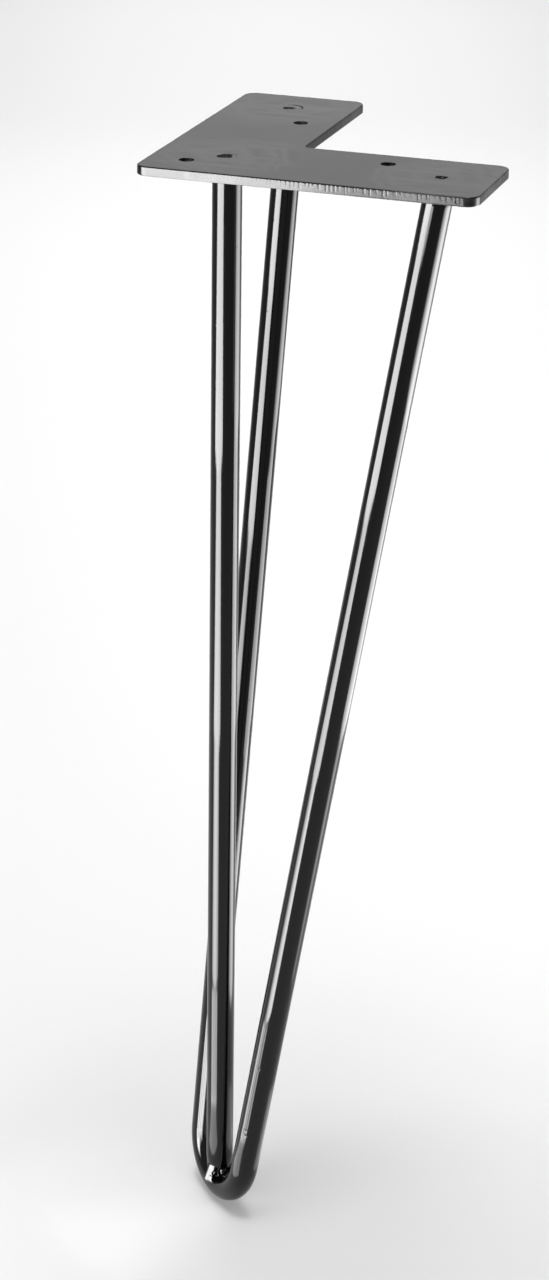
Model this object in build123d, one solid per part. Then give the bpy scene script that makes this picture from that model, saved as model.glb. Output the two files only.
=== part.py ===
from build123d import *

import os
from math import acos, atan2, cos, hypot, sin, sqrt

# Hairpin table leg: a bent rod and a straight rod of round steel, welded under a flat L of steel sheet.
# The L screws to the underside of a table top, with its arms along +X (right) and +Y (rear).
# The origin lies on the plate's top face, in the middle of the three screw holes, and +Z points up.
# The leg is the same on both sides of the vertical plane through the L's corner, halfway between the arms.

# Mounting plate
arm_length = 115.0                  # the L's outer corner to the end of either arm
arm_width = 44.0
plate_thickness = 3.2
outer_corner_radius = 4.5
inner_corner_radius = 2.0
arris_chamfer = 0.3                 # broken edges round the top and bottom faces

# Screw holes
screw_hole_diameter = 5.0
corner_screw_inset = 13.5           # from both outer edges
arm_screw_from_end = 38.5
arm_screw_from_inner_edge = 11.8

# Rods
rod_diameter = 10.0
leg_height = 400.0                  # the plate's top face to the floor
corner_rod_inset = 24.0             # the straight rod's axis, from both outer edges
limb_from_end = 18.0                # a limb's axis at the plate, from the arm's end
bend_inner_radius = 12.0

# Welds
plug_hole_diameter = 9.0
crater_diameter = 4.6               # the pit left where each plug weld ended
crater_floor_diameter = 2.2
crater_depth = 1.5
foot_root_gap = 2.0                 # between the straight rod's end and the bend, filled with weld
foot_weld_bulge = 1.2               # how far the weld stands out round the straight rod
foot_weld_climb = 1.2               # how far it reaches up the straight rod from the rod's end
foot_weld_drop = 3.5                # how far it reaches down the bend's sides from the saddle

# Sizes that follow
rod_radius = rod_diameter / 2
bend_radius = bend_inner_radius + rod_radius
arm_screw_along = arm_length - arm_screw_from_end
arm_screw_across = arm_width - arm_screw_from_inner_edge
limb_along = arm_length - limb_from_end
limb_across = arm_width / 2
origin_inset = (corner_screw_inset + arm_screw_along + arm_screw_across) / 3


def place(along_x, along_y, height=0.0):
    """A point from its distances along both arms, counted from the L's outer corner."""
    return Vector(along_x - origin_inset, along_y - origin_inset, height)


screw_places = [
    place(corner_screw_inset, corner_screw_inset),
    place(arm_screw_along, arm_screw_across),
    place(arm_screw_across, arm_screw_along),
]
rod_tops = {
    "corner": place(corner_rod_inset, corner_rod_inset, -plate_thickness),
    "right": place(limb_along, limb_across, -plate_thickness),
    "rear": place(limb_across, limb_along, -plate_thickness),
}
# Lowest point of the bend's centre line, straight below the corner rod
foot = place(corner_rod_inset, corner_rod_inset, rod_radius - leg_height)


def through_hole(top, diameter):
    """A cutter as deep as the plate, below a point of its top face."""
    below = (Align.CENTER, Align.CENTER, Align.MAX)
    return Pos(top.X, top.Y) * Cylinder(diameter / 2, plate_thickness, align=below)


def mounting_plate():
    """The flat L with rounded corners, its screw holes and a plug hole over each rod."""
    from_corner = (Align.MIN, Align.MIN)
    right_arm = Rectangle(arm_length, arm_width, align=from_corner)
    rear_arm = Rectangle(arm_width, arm_length, align=from_corner)
    outline = Pos(place(0, 0)) * (right_arm + rear_arm)
    inner_corner = place(arm_width, arm_width)
    outer_corners = outline.vertices().sort_by_distance(inner_corner)[1:]
    outline = fillet(outer_corners, outer_corner_radius)
    outline = fillet(outline.vertices().sort_by_distance(inner_corner)[:1], inner_corner_radius)
    plate = extrude(outline, -plate_thickness)
    faces = plate.faces().sort_by(Axis.Z)
    plate = chamfer(faces[0].edges() + faces[-1].edges(), arris_chamfer)
    for screw in screw_places:
        plate -= through_hole(screw, screw_hole_diameter)
    for top in rod_tops.values():
        plate -= through_hole(top, plug_hole_diameter)
    return plate


def hairpin_rod():
    """One rod swept along a straight limb, the foot's bend and the other limb, and cut off under the plate."""
    spread = rod_tops["right"] - rod_tops["rear"]
    rise = (rod_tops["right"] + rod_tops["rear"]) / 2 - foot
    bend_plane = Plane(foot, x_dir=spread, z_dir=spread.cross(rise))
    # In that plane the bend stands on the foot, and each limb leaves it along a tangent to its top
    reach = spread.length / 2
    climb = rise.length - bend_radius
    turn = atan2(climb, reach) - acos(bend_radius / hypot(reach, climb))
    limb_start = Vector(bend_radius * cos(turn), bend_radius * (1 + sin(turn)))
    limb_top = Vector(reach, rise.length)
    # The limbs run on past the plate's underside, and the cut there leaves their ends flat against it
    limb_end = limb_top + (limb_top - limb_start).normalized() * rod_diameter
    mirrored = [Vector(-point.X, point.Y) for point in (limb_start, limb_end)]
    right_limb = Line(limb_end, limb_start)
    bend = ThreePointArc(limb_start, (0, 0), mirrored[0])
    rear_limb = Line(mirrored[0], mirrored[1])
    path = bend_plane * Wire([right_limb, bend, rear_limb])
    section = Plane(path @ 0, z_dir=path % 0) * Circle(rod_radius)
    return split(sweep(section, path), Plane.XY.offset(-plate_thickness), keep=Keep.BOTTOM)


# The bend's saddle rises towards both limbs, so the square end of the corner rod stops above it
saddle_rise = bend_inner_radius - sqrt(bend_inner_radius**2 - rod_radius**2)
corner_rod_end = foot.Z + rod_radius + saddle_rise + foot_root_gap


def corner_rod():
    """The straight rod, upright from the bend to the plate."""
    top = rod_tops["corner"]
    below = (Align.CENTER, Align.CENTER, Align.MAX)
    return Pos(top) * Cylinder(rod_radius, top.Z - corner_rod_end, align=below)


def plug_weld(top):
    """Weld metal that fills a plug hole down to the rod and is ground flush, with the pit where it ended."""
    below = (Align.CENTER, Align.CENTER, Align.MAX)
    pit = Cone(crater_floor_diameter / 2, crater_diameter / 2, crater_depth, align=below)
    return through_hole(top, plug_hole_diameter) - Pos(top.X, top.Y) * pit


def foot_weld(rods):
    """A barrel of weld metal turned about the corner rod's end, with both rods taken out of it."""
    narrow = rod_radius - foot_weld_bulge
    wide = rod_radius + foot_weld_bulge
    saddle = foot.Z + rod_radius
    bottom = saddle - foot_weld_drop
    # The upper cone passes the rod's surface halfway between its wide and its narrow end
    top = corner_rod_end + 2 * foot_weld_climb
    lower = [(0, bottom), (narrow, bottom), (wide, saddle)]
    upper = [(wide, corner_rod_end), (narrow, top), (0, top)]
    half = make_face(Plane.XZ * Polyline(*lower, *upper, close=True))
    weld = Pos(foot.X, foot.Y) * revolve(half, Axis.Z)
    for rod in rods:
        weld -= rod
    return weld


nodes = {
    "mounting_plate": mounting_plate(),
    "hairpin_rod": hairpin_rod(),
    "corner_rod": corner_rod(),
}
for name, top in rod_tops.items():
    nodes[f"{name}_plug_weld"] = plug_weld(top)
nodes["foot_weld"] = foot_weld([nodes["hairpin_rod"], nodes["corner_rod"]])

os.makedirs("parts", exist_ok=True)
for name, solid in nodes.items():
    export_step(solid, f"parts/{name}.step")
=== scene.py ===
from math import acos, atan2, cos, hypot, pi, radians, sin, tan

import bpy
import numpy as np
from mathutils import Matrix, Vector
from mathutils.geometry import delaunay_2d_cdt


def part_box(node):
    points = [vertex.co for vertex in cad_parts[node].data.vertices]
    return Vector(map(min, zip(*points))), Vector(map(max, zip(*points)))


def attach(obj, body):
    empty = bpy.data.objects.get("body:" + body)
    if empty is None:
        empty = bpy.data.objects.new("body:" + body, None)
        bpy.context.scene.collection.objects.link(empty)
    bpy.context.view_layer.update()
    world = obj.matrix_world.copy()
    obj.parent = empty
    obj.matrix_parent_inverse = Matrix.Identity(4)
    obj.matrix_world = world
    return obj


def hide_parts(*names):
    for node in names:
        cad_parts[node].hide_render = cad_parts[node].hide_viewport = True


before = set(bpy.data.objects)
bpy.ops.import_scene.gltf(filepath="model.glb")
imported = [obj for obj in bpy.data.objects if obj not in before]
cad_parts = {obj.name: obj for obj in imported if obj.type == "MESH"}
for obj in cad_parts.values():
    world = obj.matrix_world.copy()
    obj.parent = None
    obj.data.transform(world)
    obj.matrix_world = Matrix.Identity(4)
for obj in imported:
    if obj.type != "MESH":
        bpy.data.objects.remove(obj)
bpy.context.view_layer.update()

# Hairpin table leg: two round steel rods welded under a flat L of steel sheet, all in black powder coat.
# Lengths are in millimetres in the frame's own axes, and become metres when they are handed to Blender.
MM = 0.001

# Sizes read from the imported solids
plate_low, plate_high = [np.array(corner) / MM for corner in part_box("mounting_plate")]
rod_low, rod_high = [np.array(corner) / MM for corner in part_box("corner_rod")]
floor_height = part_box("hairpin_rod")[0][2] / MM
plate_top = plate_high[2]
plate_underside = plate_low[2]
arm_length = plate_high[0] - plate_low[0]
rod_radius = (rod_high[0] - rod_low[0]) / 2
rod_axis = (rod_low[:2] + rod_high[:2]) / 2

# Sizes of the plate and its holes
arm_width = 44.0
outer_corner_radius = 4.5
inner_corner_radius = 2.0
coated_arris = 0.42                 # radius that the coat leaves on the edges of the top face
screw_hole_radius = 2.5
screw_hole_arris = 0.15
lower_arris_share = 0.7             # of these radii, on the edges of the underside
corner_screw_inset = 13.5
arm_screw_from_end = 38.5
arm_screw_from_inner_edge = 11.8
plug_radius = 4.5

# Sizes of the rods
limb_from_end = 18.0
bend_radius = 17.0                  # of the rod's centre line


def from_corner(along_x, along_y):
    """A point of the plate from its distances along both arms, counted from the L's outer corner."""
    return plate_low[:2] + (along_x, along_y)


arm_screw_along = arm_length - arm_screw_from_end
arm_screw_across = arm_width - arm_screw_from_inner_edge
limb_along = arm_length - limb_from_end
limb_across = arm_width / 2
screw_places = [
    from_corner(corner_screw_inset, corner_screw_inset),
    from_corner(arm_screw_along, arm_screw_across),
    from_corner(arm_screw_across, arm_screw_along),
]
rod_tops = {
    "corner": rod_axis,
    "right": from_corner(limb_along, limb_across),
    "rear": from_corner(limb_across, limb_along),
}
foot = np.array([*rod_axis, floor_height + rod_radius])


# Meshes

def grid_quads(rows, columns):
    """Quads between neighbouring points of a grid whose columns run round and close on themselves."""
    row = np.arange(rows - 1)[:, None]
    column = np.arange(columns)[None, :]
    next_row = row + 1
    next_column = (column + 1) % columns
    corners = (row * columns + column, row * columns + next_column,
               next_row * columns + next_column, next_row * columns + column)
    return np.stack(corners, axis=-1).reshape(-1, 4)


def fan(ring, pole):
    """Triangles from a closed ring of point numbers to one pole."""
    return np.stack([ring, np.roll(ring, -1), np.full(len(ring), pole)], axis=-1)


def capped_tube(grid):
    """Points and faces of a grid of rings, with a pole in the middle of its first and last ring."""
    rows, columns = grid.shape[:2]
    poles = np.stack([grid[0].mean(axis=0), grid[-1].mean(axis=0)])
    points = np.concatenate([grid.reshape(-1, 3), poles])
    first = np.arange(columns)[::-1]
    last = np.arange(columns) + (rows - 1) * columns
    faces = [*grid_quads(rows, columns).tolist(),
             *fan(first, rows * columns).tolist(),
             *fan(last, rows * columns + 1).tolist()]
    return points, faces


def put_piece(name, points, faces, material, node, normals=None):
    """Makes a piece from points in millimetres, which stands for a CAD node and rides on the leg."""
    mesh = bpy.data.meshes.new(name)
    mesh.from_pydata((points * MM).tolist(), [], faces)
    mesh.shade_smooth()
    if normals is not None:
        mesh.normals_split_custom_set_from_vertices(normals.tolist())
    mesh.materials.append(material)
    piece = bpy.data.objects.new(name, mesh)
    bpy.context.scene.collection.objects.link(piece)
    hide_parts(node)
    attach(piece, "root")


def ripple(points, wavelength, seed, waves=9, length_shares=(0.7, 1.5), gain=1.8):
    """Smooth unevenness, mostly between -1 and 1: the mean of plane waves in seeded directions, each about a
    wavelength long, times a gain."""
    draw = np.random.default_rng(seed)
    directions = draw.normal(size=(waves, 3))
    directions /= np.linalg.norm(directions, axis=1, keepdims=True)
    lengths = wavelength * draw.uniform(*length_shares, waves)
    phases = draw.uniform(0, 2 * pi, waves)
    turns = points @ (directions * (2 * pi / lengths)[:, None]).T + phases
    return np.sin(turns).mean(axis=-1) * gain


def soft_step(distance, softness):
    """From 0 to 1 along the logistic curve: one over the sum of one and e to the power of minus the distance
    over the softness."""
    return 1 / (1 + np.exp(-distance / softness))


# Materials

# The coat's colour, orange peel, dust nibs and patches of gloss
clean_black = "#020202"
coat_ior = 1.4
peel_size = 2.2
nib_spacing = 8.0
nib_radius = 0.45
nib_height = 0.06
gloss_patch_size = 24.0
gloss_patch_range = (0.3, 0.7)      # of the noise, from the highest gloss to the lowest
gloss_change = 0.03                 # of the roughness, either way

# Wipe marks on the plate: a lighter grey in the coat's colour, partly dusty haze and partly painted sheen,
# standing for the halos and streaks of gloss round the plug welds
haze_and_painted_sheen_grey = "#404040"
wipe_dullness = 0.03                # added to the roughness
haze_and_sheen_radius = 32.0                 # of the wiped ground round each plug weld
full_haze_and_sheen_radius = 12.8             # within which the marks are strongest
streak_width = 4.5
streak_squeeze = 0.06               # of the noise along the right arm, which draws it out into streaks
streak_noise_turn = radians(-14)    # picks where the noise is read, and doesn't turn the streaks
streak_range = (0.42, 0.72)         # of the noise, from no mark to a full one
ring_spacing = 5.0
ring_bend = 30.0                    # most that the noise of the gloss patches pushes a ring out of round
ring_range = (0.4, 0.75)            # of the noise, from no mark to a full one


def linear(hex_colour):
    """An sRGB hex value as linear red, green, blue and alpha."""
    parts = [int(hex_colour[place:place + 2], 16) / 255 for place in (1, 3, 5)]
    return [*(part / 12.92 if part <= 0.04045 else ((part + 0.055) / 1.055) ** 2.4 for part in parts), 1.0]


def add(tree, kind, inputs, **settings):
    """A new node of a material, with its settings, and each input set to a value or linked to a socket."""
    made = tree.nodes.new(kind)
    for name, value in settings.items():
        setattr(made, name, value)
    for socket, value in inputs.items():
        if isinstance(value, bpy.types.NodeSocket):
            tree.links.new(value, made.inputs[socket])
        else:
            made.inputs[socket].default_value = value
    return made


def per_length(millimetres):
    """A texture's scale for a pattern of this size on coordinates in metres."""
    return 1 / (millimetres * MM)


def haze_and_painted_sheen_mask(tree, place, patch):
    """A mask, from 0 on clean coat to 1, for a lighter grey that is partly dusty haze and partly painted
    sheen:
    long thin streaks of a cloth, and uneven rings where the welds were rubbed flush, both only near the plug
    welds."""
    turned = add(tree, "ShaderNodeMapping", {
        "Vector": place, "Rotation": (0.0, 0.0, streak_noise_turn), "Scale": (streak_squeeze, 1.0, 1.0),
    })
    streak_pattern = add(tree, "ShaderNodeTexNoise", {
        "Vector": turned.outputs["Vector"], "Scale": per_length(streak_width), "Detail": 2.0,
    })
    streak = add(tree, "ShaderNodeMapRange", {
        "Value": streak_pattern.outputs["Fac"], "From Min": streak_range[0], "From Max": streak_range[1],
    })
    apart = [add(tree, "ShaderNodeVectorMath", {
        0: place, 1: (*(top * MM), plate_top * MM),
    }, operation="DISTANCE").outputs["Value"] for top in rod_tops.values()]
    nearer = add(tree, "ShaderNodeMath", {0: apart[0], 1: apart[1]}, operation="MINIMUM")
    nearest = add(tree, "ShaderNodeMath", {0: nearer.outputs["Value"], 1: apart[2]}, operation="MINIMUM")
    bent = add(tree, "ShaderNodeMath", {
        0: patch, 1: ring_bend * MM, 2: nearest.outputs["Value"],
    }, operation="MULTIPLY_ADD")
    ring_pattern = add(tree, "ShaderNodeTexNoise", {
        "W": bent.outputs["Value"], "Scale": per_length(ring_spacing), "Detail": 1.0,
    }, noise_dimensions="1D")
    ring = add(tree, "ShaderNodeMapRange", {
        "Value": ring_pattern.outputs["Fac"], "From Min": ring_range[0], "From Max": ring_range[1],
    })
    either = add(tree, "ShaderNodeMath", {
        0: streak.outputs["Result"], 1: ring.outputs["Result"],
    }, operation="MAXIMUM")
    haze_and_sheen = add(tree, "ShaderNodeMapRange", {
        "Value": nearest.outputs["Value"],
        "From Min": haze_and_sheen_radius * MM, "From Max": full_haze_and_sheen_radius * MM,
        "To Min": 0.0, "To Max": either.outputs["Value"],
    }, interpolation_type="SMOOTHSTEP")
    return haze_and_sheen.outputs["Result"]


def powder_coat(name, roughness, peel_height, with_haze_and_sheen):
    """Black polyester powder coat, sprayed dry on steel and cured in an oven. It gives the eye a deep black
    with soft-edged mirrored lamps, a faint orange peel, a few dust nibs under the film, patches of slightly
    higher and lower gloss and, where it was handled, greyish wipe marks in its colour that are partly dusty
    haze and partly painted sheen."""
    material = bpy.data.materials.new(name)
    material.use_nodes = True
    tree = material.node_tree
    tree.nodes.clear()
    place = add(tree, "ShaderNodeTexCoord", {}).outputs["Object"]
    # Heights in millimetres: the orange peel, and a nib where the surface meets the middle of one of the
    # cells that are scattered in space
    peel = add(tree, "ShaderNodeTexNoise", {"Vector": place, "Scale": per_length(peel_size), "Detail": 2.0})
    cell = add(tree, "ShaderNodeTexVoronoi", {"Vector": place, "Scale": per_length(nib_spacing)})
    nib = add(tree, "ShaderNodeMapRange", {
        "Value": cell.outputs["Distance"], "From Min": nib_radius / nib_spacing, "From Max": 0.0,
        "To Min": 0.0, "To Max": nib_height,
    }, interpolation_type="SMOOTHSTEP")
    height = add(tree, "ShaderNodeMath", {
        0: peel.outputs["Fac"], 1: peel_height, 2: nib.outputs["Result"],
    }, operation="MULTIPLY_ADD")
    bump = add(tree, "ShaderNodeBump", {"Height": height.outputs["Value"], "Distance": MM, "Strength": 1.0})
    # Broad patches of slightly higher and lower gloss
    patch = add(tree, "ShaderNodeTexNoise", {
        "Vector": place, "Scale": per_length(gloss_patch_size), "Detail": 3.0,
    })
    gloss = add(tree, "ShaderNodeMapRange", {
        "Value": patch.outputs["Fac"],
        "From Min": gloss_patch_range[0], "From Max": gloss_patch_range[1],
        "To Min": roughness - gloss_change, "To Max": roughness + gloss_change,
    })
    shader = add(tree, "ShaderNodeBsdfPrincipled", {
        "Base Color": linear(clean_black), "IOR": coat_ior,
        "Roughness": gloss.outputs["Result"], "Normal": bump.outputs["Normal"],
    })
    if with_haze_and_sheen:
        haze_and_sheen = haze_and_painted_sheen_mask(tree, place, patch.outputs["Fac"])
        # The marks lighten the coat's colour towards grey: partly dusty haze and partly painted sheen
        colour = add(tree, "ShaderNodeMix", {
            0: haze_and_sheen, 6: linear(clean_black), 7: linear(haze_and_painted_sheen_grey),
        }, data_type="RGBA")
        dullness = add(tree, "ShaderNodeMath", {
            0: haze_and_sheen, 1: wipe_dullness, 2: gloss.outputs["Result"],
        }, operation="MULTIPLY_ADD")
        tree.links.new(colour.outputs[2], shader.inputs["Base Color"])
        tree.links.new(dullness.outputs["Value"], shader.inputs["Roughness"])
    add(tree, "ShaderNodeOutputMaterial", {"Surface": shader.outputs["BSDF"]})
    return material


rod_coat = powder_coat("black powder coat on drawn rod", roughness=0.11, peel_height=0.005, with_haze_and_sheen=False)
plate_coat = powder_coat("black powder coat on cut sheet", roughness=0.18, peel_height=0.01, with_haze_and_sheen=True)
weld_coat = powder_coat("black powder coat on weld metal", roughness=0.13, peel_height=0.01, with_haze_and_sheen=False)


# Rods

# Knocks on the right limb above the bend: how far up the limb, the angle round it in degrees, and each
# knock's length, width and depth
scuffs = [
    (18.9, 50, 0.35, 1.3, 0.16),
    (16.6, 52, 0.4, 1.0, 0.14),
    (17.6, 64, 0.8, 0.5, 0.08),
    (24.3, 13, 0.55, 0.45, 0.24),
    (23.2, 20, 0.5, 0.45, 0.2),
    (22.1, 13, 0.5, 0.5, 0.22),
    (19.9, 17, 0.6, 0.45, 0.24),
    (18.2, 21, 0.5, 0.4, 0.18),
    (16.3, 19, 0.5, 0.5, 0.24),
    (15.0, 14, 0.5, 0.55, 0.2),
    (13.9, 20, 0.6, 0.5, 0.24),
    (46.0, 51, 0.5, 0.4, 0.1),
]
knocked_length = 50.0               # of the limbs' low ends, with rings close enough to show the knocks

# Rings round the bend, on the knocked length of a limb and on the rest of it
bend_rings = 97
knocked_rings = 125
plain_rings = 60


def swept_rod(centres, normals, binormal, around=120):
    """A circle carried along a path: each ring is the centre plus the radius times cosine of the normal
    plus the radius times sine of the binormal."""
    angle = np.linspace(0, 2 * pi, around, endpoint=False)
    side = np.cos(angle)[None, :, None] * normals[:, None, :] + np.sin(angle)[None, :, None] * binormal
    return centres[:, None, :] + rod_radius * side


def slide_to_plate(ring, direction):
    """Moves each point of a ring along a limb until it lies in the plate's underside."""
    return ring + direction * ((plate_underside - ring[:, 2]) / direction[2])[:, None]


def with_scuffs(grid, centres, up_limb):
    """Pushes a limb's surface in at each knock, by a depth that falls off as a bell curve along the limb and
    round it."""
    along, turn, length, width, depth = np.array(scuffs).T
    angle = np.linspace(0, 2 * pi, grid.shape[1], endpoint=False)
    off_along = (up_limb[:, None] - along) / length
    off_round = ((angle[:, None] - np.radians(turn) + pi) % (2 * pi) - pi) * rod_radius / width
    push = np.exp(-off_along ** 2) @ (depth[:, None] * np.exp(-off_round.T ** 2))
    return grid + (centres[:, None, :] - grid) * (push / rod_radius)[..., None]


def hairpin_surface():
    """The bent rod: a straight limb, an arc in the leaning plane of both limbs, and the other limb."""
    right = np.array([*rod_tops["right"], plate_underside])
    rear = np.array([*rod_tops["rear"], plate_underside])
    spread = right - rear
    rise = (right + rear) / 2 - foot
    reach = np.linalg.norm(spread) / 2
    height = np.linalg.norm(rise)
    across = spread / (2 * reach)
    upward = rise / height
    binormal = np.cross(across, upward)
    # Each limb is the tangent from its top to the bend, whose middle stands above the foot
    turn = atan2(height - bend_radius, reach) - acos(bend_radius / hypot(reach, height - bend_radius))
    middle = foot + bend_radius * upward
    angle = np.linspace(turn, -pi - turn, bend_rings)[:, None]
    bend_normals = np.cos(angle) * across + np.sin(angle) * upward
    bend = middle + bend_radius * bend_normals
    # Rings lie close together over the knocked length of a limb, and further apart above it
    limb_length = np.linalg.norm(right - bend[0])
    close = np.linspace(0, knocked_length, knocked_rings)
    apart = knocked_length + (limb_length - knocked_length) * np.linspace(0, 1, plain_rings)[1:]
    up_limb = np.concatenate([close, apart])
    share = (up_limb / limb_length)[:, None]
    right_limb = (bend[0] + (right - bend[0]) * share)[::-1]
    rear_limb = bend[-1] + (rear - bend[-1]) * share
    centres = np.concatenate([right_limb[:-1], bend, rear_limb[1:]])
    straight = np.ones((len(share) - 1, 1))
    normals = np.concatenate([straight * bend_normals[0], bend_normals, straight * bend_normals[-1]])
    grid = swept_rod(centres, normals, binormal)
    knocked = slice(0, len(up_limb))
    grid[knocked] = with_scuffs(grid[knocked], centres[knocked], up_limb[::-1])
    grid[0] = slide_to_plate(grid[0], right - bend[0])
    grid[-1] = slide_to_plate(grid[-1], rear - bend[-1])
    return grid


def corner_rod_surface(cut_arris=0.4, rings=90):
    """The straight rod: a circle carried down a vertical line, drawn in at its lower end by the arris of the
    cut."""
    heights = np.append(np.linspace(plate_underside, rod_low[2] + cut_arris, rings), rod_low[2])
    centres = np.array([[*rod_axis, height] for height in heights])
    normals = np.tile([1.0, 0.0, 0.0], (len(heights), 1))
    grid = swept_rod(centres, normals, np.array([0.0, -1.0, 0.0]))
    grid[-1, :, :2] += (rod_axis - grid[-1, :, :2]) * (cut_arris / rod_radius)
    return grid


put_piece("hairpin_rod_coated", *capped_tube(hairpin_surface()), rod_coat, "hairpin_rod")
put_piece("corner_rod_coated", *capped_tube(corner_rod_surface()), rod_coat, "corner_rod")


# Mounting plate

# Furrows of the cutting beam in the plate's edge. Where a value has two numbers, each furrow's own is drawn
# between them.
furrow_seed = 21
furrow_spacing = 1.6                # from one to the next, before each is shifted
furrow_shifts = (0.0, 0.7)          # as shares of the spacing
furrow_widths = (0.25, 0.42)
furrow_depth = 0.055                # of the deepest
furrow_depth_shares = (0.45, 1.0)   # of that depth
furrow_reaches = (0.25, 0.8)        # down from the top face, as shares of the plate's thickness
furrow_fade = 0.06                  # how softly a furrow ends below, as a share of the thickness
front_growth = 1.2                  # share of the depth gained along the front edge, up to all of it
front_least = 0.15                  # share of the depth at the front edge's left end
other_edges = 0.5                   # share of the depth on the other edges

# Points round a rounded corner, a screw hole and a plug hole, and down a quarter round, and steps down the
# wall of the outer edge and of a hole
corner_points = 24
screw_hole_points = 72
plug_points = 96
quarter_points = 5
edge_steps = 10
hole_steps = 4


def arc_points(centre, radius, start, end, count):
    """Points of an arc and their outward directions."""
    angle = np.linspace(start, end, count, endpoint=False)
    out = np.stack([np.cos(angle), np.sin(angle)], axis=-1)
    return centre + radius * out, out


def plate_outline(step=0.16):
    """The L's outline, anticlockwise: straight cuts in short steps between rounded corners, with outward
    directions."""
    outer = outer_corner_radius
    inner = inner_corner_radius
    far = arm_length - outer
    near = arm_width - outer
    inside = arm_width + inner
    # Each corner: the middle of its arc along both arms, its radius, and the angles of its ends
    corners = [
        ((outer, outer), outer, pi, 1.5 * pi),
        ((far, outer), outer, 1.5 * pi, 2 * pi),
        ((far, near), outer, 0, 0.5 * pi),
        ((inside, inside), inner, 1.5 * pi, pi),
        ((near, far), outer, 0, 0.5 * pi),
        ((outer, far), outer, 0.5 * pi, pi),
    ]
    arcs = []
    for place, radius, start, end in corners:
        middle = from_corner(*place)
        points, outs = arc_points(middle, radius, start, end, corner_points)
        last_out = np.array([cos(end), sin(end)])
        # The inner corner's arc is centred outside the metal, so its outward directions are turned round
        sense = -1 if end < start else 1
        arcs.append((points, sense * outs, middle + radius * last_out, sense * last_out))
    # A straight cut runs from each corner's last point to the next corner's first
    loop_points = []
    loop_outs = []
    for (points, outs, begin, cut_out), next_corner in zip(arcs, arcs[1:] + arcs[:1]):
        finish = next_corner[0][0]
        count = int(np.linalg.norm(finish - begin) / step)
        share = np.linspace(0, 1, count, endpoint=False)[:, None]
        loop_points += [points, begin + (finish - begin) * share]
        loop_outs += [outs, np.tile(cut_out, (count, 1))]
    return np.concatenate(loop_points), np.concatenate(loop_outs)


def hole_outline(centre, radius, count):
    """A hole's circle, clockwise, with directions from the metal into the hole."""
    points, out = arc_points(centre, radius, 2 * pi, 0, count)
    return points, -out


def rim_profile(arris, wall_steps):
    """Inset, height and slope of the cut edge from the top face to the underside: a quarter round, the wall
    and a smaller quarter round, or the wall alone where there is no arris."""
    if not arris:
        height = np.linspace(plate_top, plate_underside, wall_steps + 1)
        return 0 * height, height, 0 * height
    quarter = np.linspace(0, pi / 2, quarter_points)
    lower_arris = arris * lower_arris_share
    wall = np.linspace(plate_top - arris, plate_underside + lower_arris, wall_steps + 1)[1:-1]
    bottom_inset = lower_arris * (1 - np.sin(quarter[::-1]))
    inset = np.concatenate([arris * (1 - np.sin(quarter)), 0 * wall, bottom_inset])
    top = plate_top - arris * (1 - np.cos(quarter))
    bottom = plate_underside + lower_arris * (1 - np.cos(quarter[::-1]))
    height = np.concatenate([top, wall, bottom])
    slope = np.concatenate([pi / 2 - quarter, 0 * wall, quarter[::-1] - pi / 2])
    return inset, height, slope


def cut_marks(outline, outs, height):
    """How far the cutting beam's upright furrows go into the edge: narrow dips along the outline, each at its
    step of a steady spacing plus a drawn shift, which end at drawn reaches below the top. On the front edge
    they grow from left to right."""
    draw = np.random.default_rng(furrow_seed)
    steps = np.linalg.norm(outline - np.roll(outline, 1, axis=0), axis=1)
    along = np.cumsum(steps)
    count = int(along[-1] / furrow_spacing)
    furrows = (np.arange(count) + draw.uniform(*furrow_shifts, count)) * furrow_spacing
    widths = draw.uniform(*furrow_widths, count)
    depths = draw.uniform(*furrow_depth_shares, count) * furrow_depth
    reaches = draw.uniform(*furrow_reaches, count)
    nearest = np.abs(along[:, None] - furrows).argmin(axis=0)
    # The front edge faces -Y
    on_front = outs[nearest, 1] < -0.9
    rightward = (outline[nearest, 0] - plate_low[0]) / arm_length
    depths *= np.where(on_front, np.clip(rightward * front_growth, front_least, 1), other_edges)
    dips = depths * np.exp(-((along[:, None] - furrows) / widths) ** 2)
    below = (plate_top - height) / (plate_top - plate_underside)
    return soft_step(reaches - below[:, None], furrow_fade) @ dips.T


def loop_surface(outline, outs, arris, wall_steps, marked):
    """A profile carried round an outline: points, and normals from the differences between neighbours, which
    are those of the flat faces at its top and bottom."""
    inset, height, slope = rim_profile(arris, wall_steps)
    depth = np.broadcast_to(inset[:, None], (len(height), len(outline)))
    if marked:
        depth = depth + cut_marks(outline, outs, height) * np.cos(slope)[:, None]
    flat = outline[None] - depth[..., None] * outs[None]
    upright = np.broadcast_to(height[:, None, None], (*depth.shape, 1))
    grid = np.concatenate([flat, upright], axis=-1)
    forward = np.roll(grid, -1, axis=1) - np.roll(grid, 1, axis=1)
    down = np.gradient(grid, axis=0)
    normals = np.cross(down, forward)
    normals[0] = (0, 0, 1)
    normals[-1] = (0, 0, -1)
    normals /= np.linalg.norm(normals, axis=-1, keepdims=True)
    return grid, normals


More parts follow.
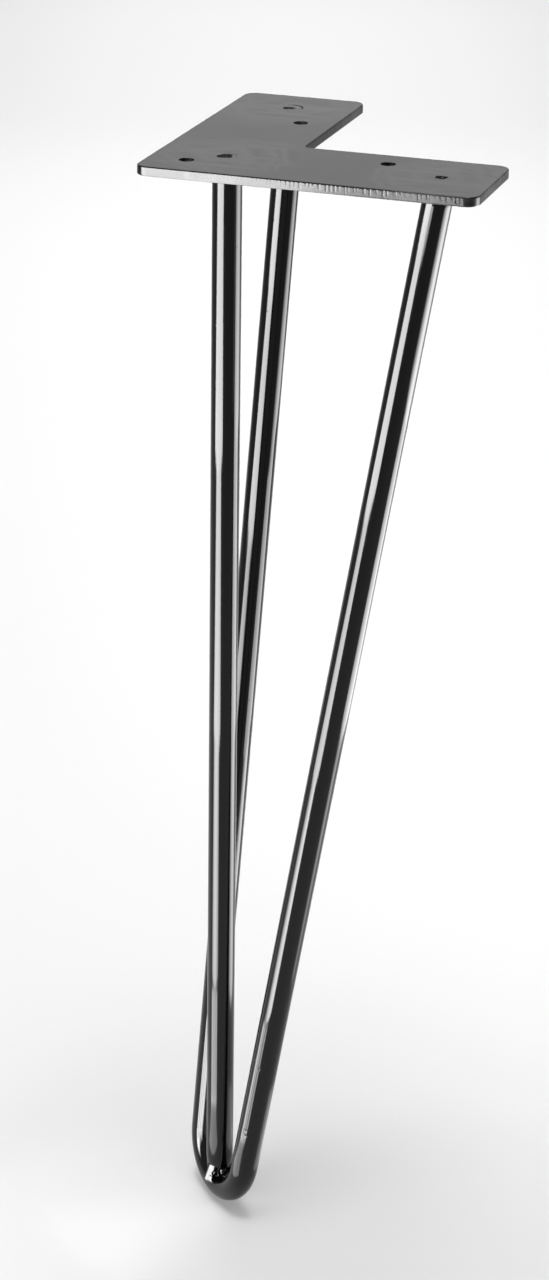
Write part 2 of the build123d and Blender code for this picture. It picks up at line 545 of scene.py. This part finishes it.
def plate_surface():
    """The plate: its cut edge is a profile carried round each outline, and both flat faces are filled between
    the outlines with triangles."""
    loops = [(*plate_outline(), coated_arris, edge_steps, True)]
    for place in screw_places:
        circle = hole_outline(place, screw_hole_radius, screw_hole_points)
        loops.append((*circle, screw_hole_arris, hole_steps, False))
    for place in rod_tops.values():
        circle = hole_outline(place, plug_radius, plug_points)
        loops.append((*circle, 0.0, hole_steps, False))
    surfaces = [loop_surface(*loop) for loop in loops]
    sizes = np.array([grid.shape[:2] for grid, _ in surfaces])
    starts = np.cumsum([0, *sizes.prod(axis=1)])
    points = np.concatenate([grid.reshape(-1, 3) for grid, _ in surfaces])
    normals = np.concatenate([normal.reshape(-1, 3) for _, normal in surfaces])
    faces = []
    for (rows, columns), start in zip(sizes, starts):
        faces += (grid_quads(rows, columns)[:, ::-1] + start).tolist()
    # Point numbers of each outline's top and bottom ring, which bound the flat faces
    columns = sizes[:, 1]
    loop_of = np.repeat(np.arange(len(columns)), columns)
    top = np.concatenate([start + np.arange(count) for start, count in zip(starts, columns)])
    bottom = top + ((sizes[:, 0] - 1) * columns)[loop_of]
    firsts = np.cumsum([0, *columns[:-1]])
    here = np.arange(len(top))
    following = np.where(here + 1 < (firsts + columns)[loop_of], here + 1, firsts[loop_of])
    edges = np.stack([here, following], axis=-1).tolist()
    triangles_inside = 1
    same_point = 1e-6
    flat_points = [Vector(point) for point in points[top, :2]]
    filled = delaunay_2d_cdt(flat_points, edges, [], triangles_inside, same_point)
    source = np.array([numbers[0] for numbers in filled[3]])
    triangles = source[np.array(filled[2])]
    # A triangle that touches one hole only lies in that hole, and is left out
    loops_met = loop_of[triangles]
    in_hole = (loops_met == loops_met[:, :1]).all(axis=1) & (loops_met[:, 0] > 0)
    triangles = triangles[~in_hole]
    faces += top[triangles].tolist()
    faces += bottom[triangles][:, ::-1].tolist()
    return points, faces, normals


plate_points, plate_faces, plate_normals = plate_surface()
put_piece("mounting_plate_coated", plate_points, plate_faces, plate_coat, "mounting_plate", plate_normals)


# Plug welds

# Each one's pits, as their place from the rod's axis, radius, depth and power, its groove, as the angle of
# its middle, half its span, its radius, width and depth, and its bead, as its place, radius and height
plug_welds = {
    "corner": (
        [(-0.3, -1.0, 2.7, 1.7, 4), (1.3, 0.5, 2.4, 0.1, 2), (2.9, 0.2, 0.5, 0.25, 2)],
        None,
        (0.0, -1.4, 0.5, 0.4),
    ),
    "right": (
        [(0.4, -0.3, 2.15, 1.5, 4)],
        None,
        (0.6, 0.1, 0.7, 1.42),
    ),
    "rear": (
        [(-0.6, -0.9, 2.1, 1.3, 3), (1.0, -0.7, 1.3, 0.3, 2), (3.9, 0.1, 0.5, 0.5, 2)],
        (1.1, 1.0, 4.1, 0.26, 0.6),
        (-0.2, -1.0, 0.4, 0.5),
    ),
}
pit_raggedness = 0.2                # how far a pit's radius varies, as a share of it
pit_lobes = 1.3                     # wavelength of that round a pit, in radii
groove_fade = 0.4                   # angle in radians over which a groove runs out at its ends
plug_rings = 60
innermost_ring = 0.03               # as a share of the plug's radius


def bead_in_pit(across, along, bead):
    """Height of a small round bead of spatter that stands in a pit: the root of one less the fourth power of
    the distance from its middle in radii."""
    x, y, radius, height = bead
    share = np.hypot(across - x, along - y) / radius
    return height * np.sqrt(np.clip(1 - share ** 4, 0, 1))


def plug_weld_surface(centre, pits, groove, bead, seed):
    """A disc in polar rings: flush with the plate, less ragged pits whose depth falls off as a power of the
    distance from their middles, less a groove along part of the rim where there is one, and with a bead in a
    pit. The hole's wall and a flat bottom close it."""
    angle = np.linspace(0, 2 * pi, plug_points, endpoint=False)
    rings = np.linspace(innermost_ring, 1, plug_rings)[:, None] * plug_radius
    across = rings * np.cos(angle)
    along = rings * np.sin(angle)
    depth = np.zeros_like(across)
    for number, (x, y, radius, deep, power) in enumerate(pits):
        toward = np.arctan2(along - y, across - x)
        around = np.stack([np.cos(toward), np.sin(toward), 0 * toward], axis=-1)
        ragged = radius * (1 + pit_raggedness * ripple(around, pit_lobes, seed + number))
        share = np.clip(np.hypot(across - x, along - y) / ragged, 0, 1)
        depth = np.maximum(depth, deep * (1 - share ** power))
    if groove:
        groove_angle, half_span, groove_radius, groove_width, groove_depth = groove
        turned = np.abs((angle - groove_angle + pi) % (2 * pi) - pi)
        window = np.clip((half_span - turned) / groove_fade, 0, 1)
        dip = np.exp(-((rings - groove_radius) / groove_width) ** 2)
        depth = np.maximum(depth, groove_depth * window * dip)
    depth = np.maximum(depth - bead_in_pit(across, along, bead), 0)
    depth[-1] = 0
    disc = np.stack([centre[0] + across, centre[1] + along, plate_top - depth], axis=-1)
    lower = disc[-1].copy()
    lower[:, 2] = plate_underside
    return np.concatenate([disc, lower[None]])[::-1]


for number, (name, (pits, groove, bead)) in enumerate(plug_welds.items()):
    grid = plug_weld_surface(rod_tops[name], pits, groove, bead, seed=10 * number)
    put_piece(f"{name}_plug_weld_coated", *capped_tube(grid), plate_coat, f"{name}_plug_weld")


# Foot weld

# It is measured by its angle round the straight rod in degrees, from the front towards the right limb, and by
# its height above the bend's saddle
weld_front = radians(19.1)          # that front, from -Y towards +X
saddle_height = foot[2] + rod_radius
weld_low = -4.4
weld_high = 5.6
# How far its face stands out from the rod: by angle, and as a share of that by height
bulge_angles = [-180, -120, -90, -66, -55, -52, -36, -17, 0, 40, 75, 130, 180]
bulges = [0.9, 0.2, -0.5, -0.3, 1.9, 2.1, 1.8, 2.2, 2.2, 1.6, 1.2, 0.9, 0.9]
share_heights = [weld_low, -2.6, -1.4, 4.5, 5.1, weld_high]
shares = [-1.6, 0.6, 1.0, 0.0, -0.6, -1.6]
# The hollow where it missed the joint, between these angles at each height
hollow_heights = [weld_low, -1.4, -0.6, 0.4, 1.8, 2.8, weld_high]
hollow_lefts = [-6, -16, -22, -27, -26, -17, -14]
hollow_right = 50
hollow_wobble = 4                   # degrees that its edges wander
left_softness = 1.5                 # of its edges, in degrees
right_softness = 4
hollow_depth = 2.6
hollow_unevenness = 0.3             # how far its depth varies, as a share of it
# Heights of the bumps on the face, and of the broad and fine ones added in the hollow
face_bump = 0.03
hollow_bump = 0.12
fine_hollow_bump = 0.07
weld_columns = 300
weld_rings = 110


def foot_weld_surface():
    """A lump round the joint: rings about the rod, whose radius is the rod's plus a bulge read from the angle
    and the height, less a hollow between two angles, with slight bumps on its face and stronger ones in the
    hollow."""
    turn = np.linspace(-180, 180, weld_columns, endpoint=False)[None, :]
    height = np.linspace(weld_low, weld_high, weld_rings)[:, None]
    share = np.interp(height, share_heights, shares)
    stand = np.interp(turn, bulge_angles, bulges)
    radius = rod_radius + np.where((share > 0) & (stand > 0), share * stand, np.minimum(share, stand))
    level = height + 0 * turn
    lump = np.stack([radius * np.cos(np.radians(turn)), radius * np.sin(np.radians(turn)), level], axis=-1)
    rough = ripple(lump, wavelength=3.0, seed=4)
    fine = ripple(lump, wavelength=1.3, seed=5)
    wobble = hollow_wobble * ripple(lump, wavelength=2.4, seed=8)
    left = np.interp(height, hollow_heights, hollow_lefts) + wobble
    right = hollow_right + wobble
    hollow = soft_step(turn - left, left_softness) * soft_step(right - turn, right_softness)
    bumps = (face_bump + hollow_bump * hollow) * rough + fine_hollow_bump * hollow * fine
    radius = radius - hollow_depth * hollow * (1 + hollow_unevenness * rough) + bumps
    side = weld_front + np.radians(turn)
    return np.stack([rod_axis[0] + radius * np.sin(side), rod_axis[1] - radius * np.cos(side),
                     saddle_height + level], axis=-1)


put_piece("foot_weld_coated", *capped_tube(foot_weld_surface()), weld_coat, "foot_weld")


# Floor and world

floor_reach = 20000.0
floor_grey = "#E6E6E6"
world_strength = 0.35


def floor_material():
    """Pale matt paper, as rolled out under a studio set. It gives the eye a near-white ground and takes the
    leg's soft shadow."""
    material = bpy.data.materials.new("pale paper floor")
    material.use_nodes = True
    shader = material.node_tree.nodes["Principled BSDF"]
    shader.inputs["Base Color"].default_value = linear(floor_grey)
    shader.inputs["Roughness"].default_value = 0.9
    shader.inputs["Specular IOR Level"].default_value = 0.2
    return material


floor_sides = [(-1, -1), (1, -1), (1, 1), (-1, 1)]
floor_points = [(x * floor_reach * MM, y * floor_reach * MM, floor_height * MM) for x, y in floor_sides]
floor_mesh = bpy.data.meshes.new("floor")
floor_mesh.from_pydata(floor_points, [], [(0, 1, 2, 3)])
floor_mesh.materials.append(floor_material())
floor = bpy.data.objects.new("floor", floor_mesh)
bpy.context.scene.collection.objects.link(floor)

world = bpy.data.worlds.new("studio")
world.use_nodes = True
world.node_tree.nodes["Background"].inputs["Color"].default_value = (1.0, 1.0, 1.0, 1.0)
world.node_tree.nodes["Background"].inputs["Strength"].default_value = world_strength
bpy.context.scene.world = world


# Lamps

up = (0, 0, 1)


def lamp(name, centre, aim, upright, width, height, brightness, spread=180.0):
    """A flat rectangular lamp of an even brightness, 1 being white, whose light fans out by the spread in
    degrees. Its height runs as near to the upright direction as its aim allows."""
    data = bpy.data.lights.new(name, "AREA")
    data.shape = "RECTANGLE"
    data.size = width * MM
    data.size_y = height * MM
    data.spread = radians(spread)
    # A narrow spread makes a lamp brighter straight ahead, so its energy is cut to keep the brightness
    half = radians(spread) / 2
    narrowing = 1 - half / tan(half) if spread < 180 else 1.0
    data.energy = brightness * pi * data.size * data.size_y * narrowing
    back = (Vector(centre) - Vector(aim)).normalized()
    side = Vector(upright).cross(back).normalized()
    made = bpy.data.objects.new(name, data)
    turned = Matrix((side, back.cross(side), back)).transposed().to_4x4()
    made.matrix_world = Matrix.Translation(Vector(centre) * MM) @ turned
    bpy.context.scene.collection.objects.link(made)


def bank_panel(name, azimuth, low, high, width, brightness, spread):
    """A panel that faces the corner rod from an azimuth, counted from the front, -Y, towards the right. Its
    low and high edges are given by their distances from that rod and their heights above the floor."""
    out = np.array([sin(radians(azimuth)), -cos(radians(azimuth))])
    distance, height = (np.array(low) + high) / 2
    run, climb = np.array(high) - low
    centre = np.array([*(rod_axis + out * distance), floor_height + height])
    facing = np.array([*(-out * climb), run])
    lamp(name, centre, centre + facing, up, width, hypot(run, climb), brightness, spread)


# The rods' left bands mirror a bank of panels in front of the leg and the right bands one at its right. Each
# stands upright near the floor and leans back above, and widens with its distance so that a band keeps its
# width. A panel's name is followed by its azimuth, low edge, high edge, width, brightness and spread.
bank_panels = [
    ("left bank, foot 0", -53, (70.5, 0.4), (79, 48), 23, 36.0, 57.0),
    ("left bank, foot 1", -36, (70.5, 0.4), (79, 48), 23, 36.0, 57.0),
    ("left bank, foot 2", -19, (70.5, 0.4), (79, 48), 23, 36.0, 57.0),
    ("left bank, low", -34, (81, 48), (106, 140), 86, 30.0, 66.0),
    ("left bank, lower middle", -31, (106, 140), (167, 232), 116, 26.0, 110.0),
    ("left bank, upper middle", -33, (167, 232), (237, 337), 208, 26.0, 150.0),
    ("left bank, high", -36, (237, 337), (300, 432), 260, 31.0, 150.0),
    ("right bank, foot", 112, (147, 3), (170, 110), 138, 20.0, 60.0),
    ("right bank, low", 112, (170, 110), (240, 218), 182, 11.5, 130.0),
    ("right bank, high", 114, (240, 218), (400, 450), 360, 20.0, 72.0),
]
for panel in bank_panels:
    bank_panel(*panel)

# The other lamps' names are followed by their centre, aim, upright direction, width, height, brightness and
# spread. The right half of the plate's front edge mirrors a thin strip beside the left bank.
lamp("front edge strip", (-42, -371, -91), (52, -41, -2), up, 90, 32, 19.0, 26.0)
# The weld mirrors a small lamp low at the left
lamp("weld lamp", (-124, -122, -369), (-17, -17, -388), up, 100, 40, 30.0, 40.0)
# The plate's top mirrors a panel behind the leg
lamp("rear panel", (-445, 1432, 450), (0, 0, 0), up, 2000, 1000, 0.41)
# Two small strips on the floor carry the bands on to the foot
lamp("left foot strip", (-48, -56, -397), (-48, -56, 0), (-0.643, -0.766, 0), 50, 40, 4.0)
lamp("right foot strip", (34, 4, -397), (34, 4, 0), (0.927, 0.375, 0), 50, 46, 1.2)
# A long soft box with a grid hangs over the floor behind the leg, along the camera's line of sight
lamp("overhead", (-394, 1195, 1900), (-394, 1195, -400), (-0.31, 0.95, 0), 1100, 3325, 22.5, 40.0)


# Camera

# It fits the photograph: its place, and its turns in radians about the vertical, sideways and its own axis
camera_place = (303.194, -938.876, 240.557)
camera_yaw = -0.315724
camera_pitch = -0.400197
camera_roll = 0.014936
focal_length = 3027.305             # in pixels of a picture 549 wide and 1280 high
long_side = 1280
sensor = 36.0

level_length = cos(camera_pitch)
ahead = Vector((sin(camera_yaw) * level_length, cos(camera_yaw) * level_length, sin(camera_pitch)))
level_right = ahead.cross(Vector(up)).normalized()
level_up = level_right.cross(ahead)
camera_right = level_right * cos(camera_roll) + level_up * sin(camera_roll)
camera_up = level_up * cos(camera_roll) - level_right * sin(camera_roll)
camera_data = bpy.data.cameras.new("camera")
camera_data.sensor_width = sensor
camera_data.lens = focal_length * sensor / long_side
camera_data.clip_start = 10 * MM
camera = bpy.data.objects.new("camera", camera_data)
turned = Matrix((camera_right, camera_up, -ahead)).transposed().to_4x4()
camera.matrix_world = Matrix.Translation(Vector(camera_place) * MM) @ turned
bpy.context.scene.collection.objects.link(camera)
bpy.context.scene.camera = camera
bpy.context.scene.view_settings.view_transform = "Standard"
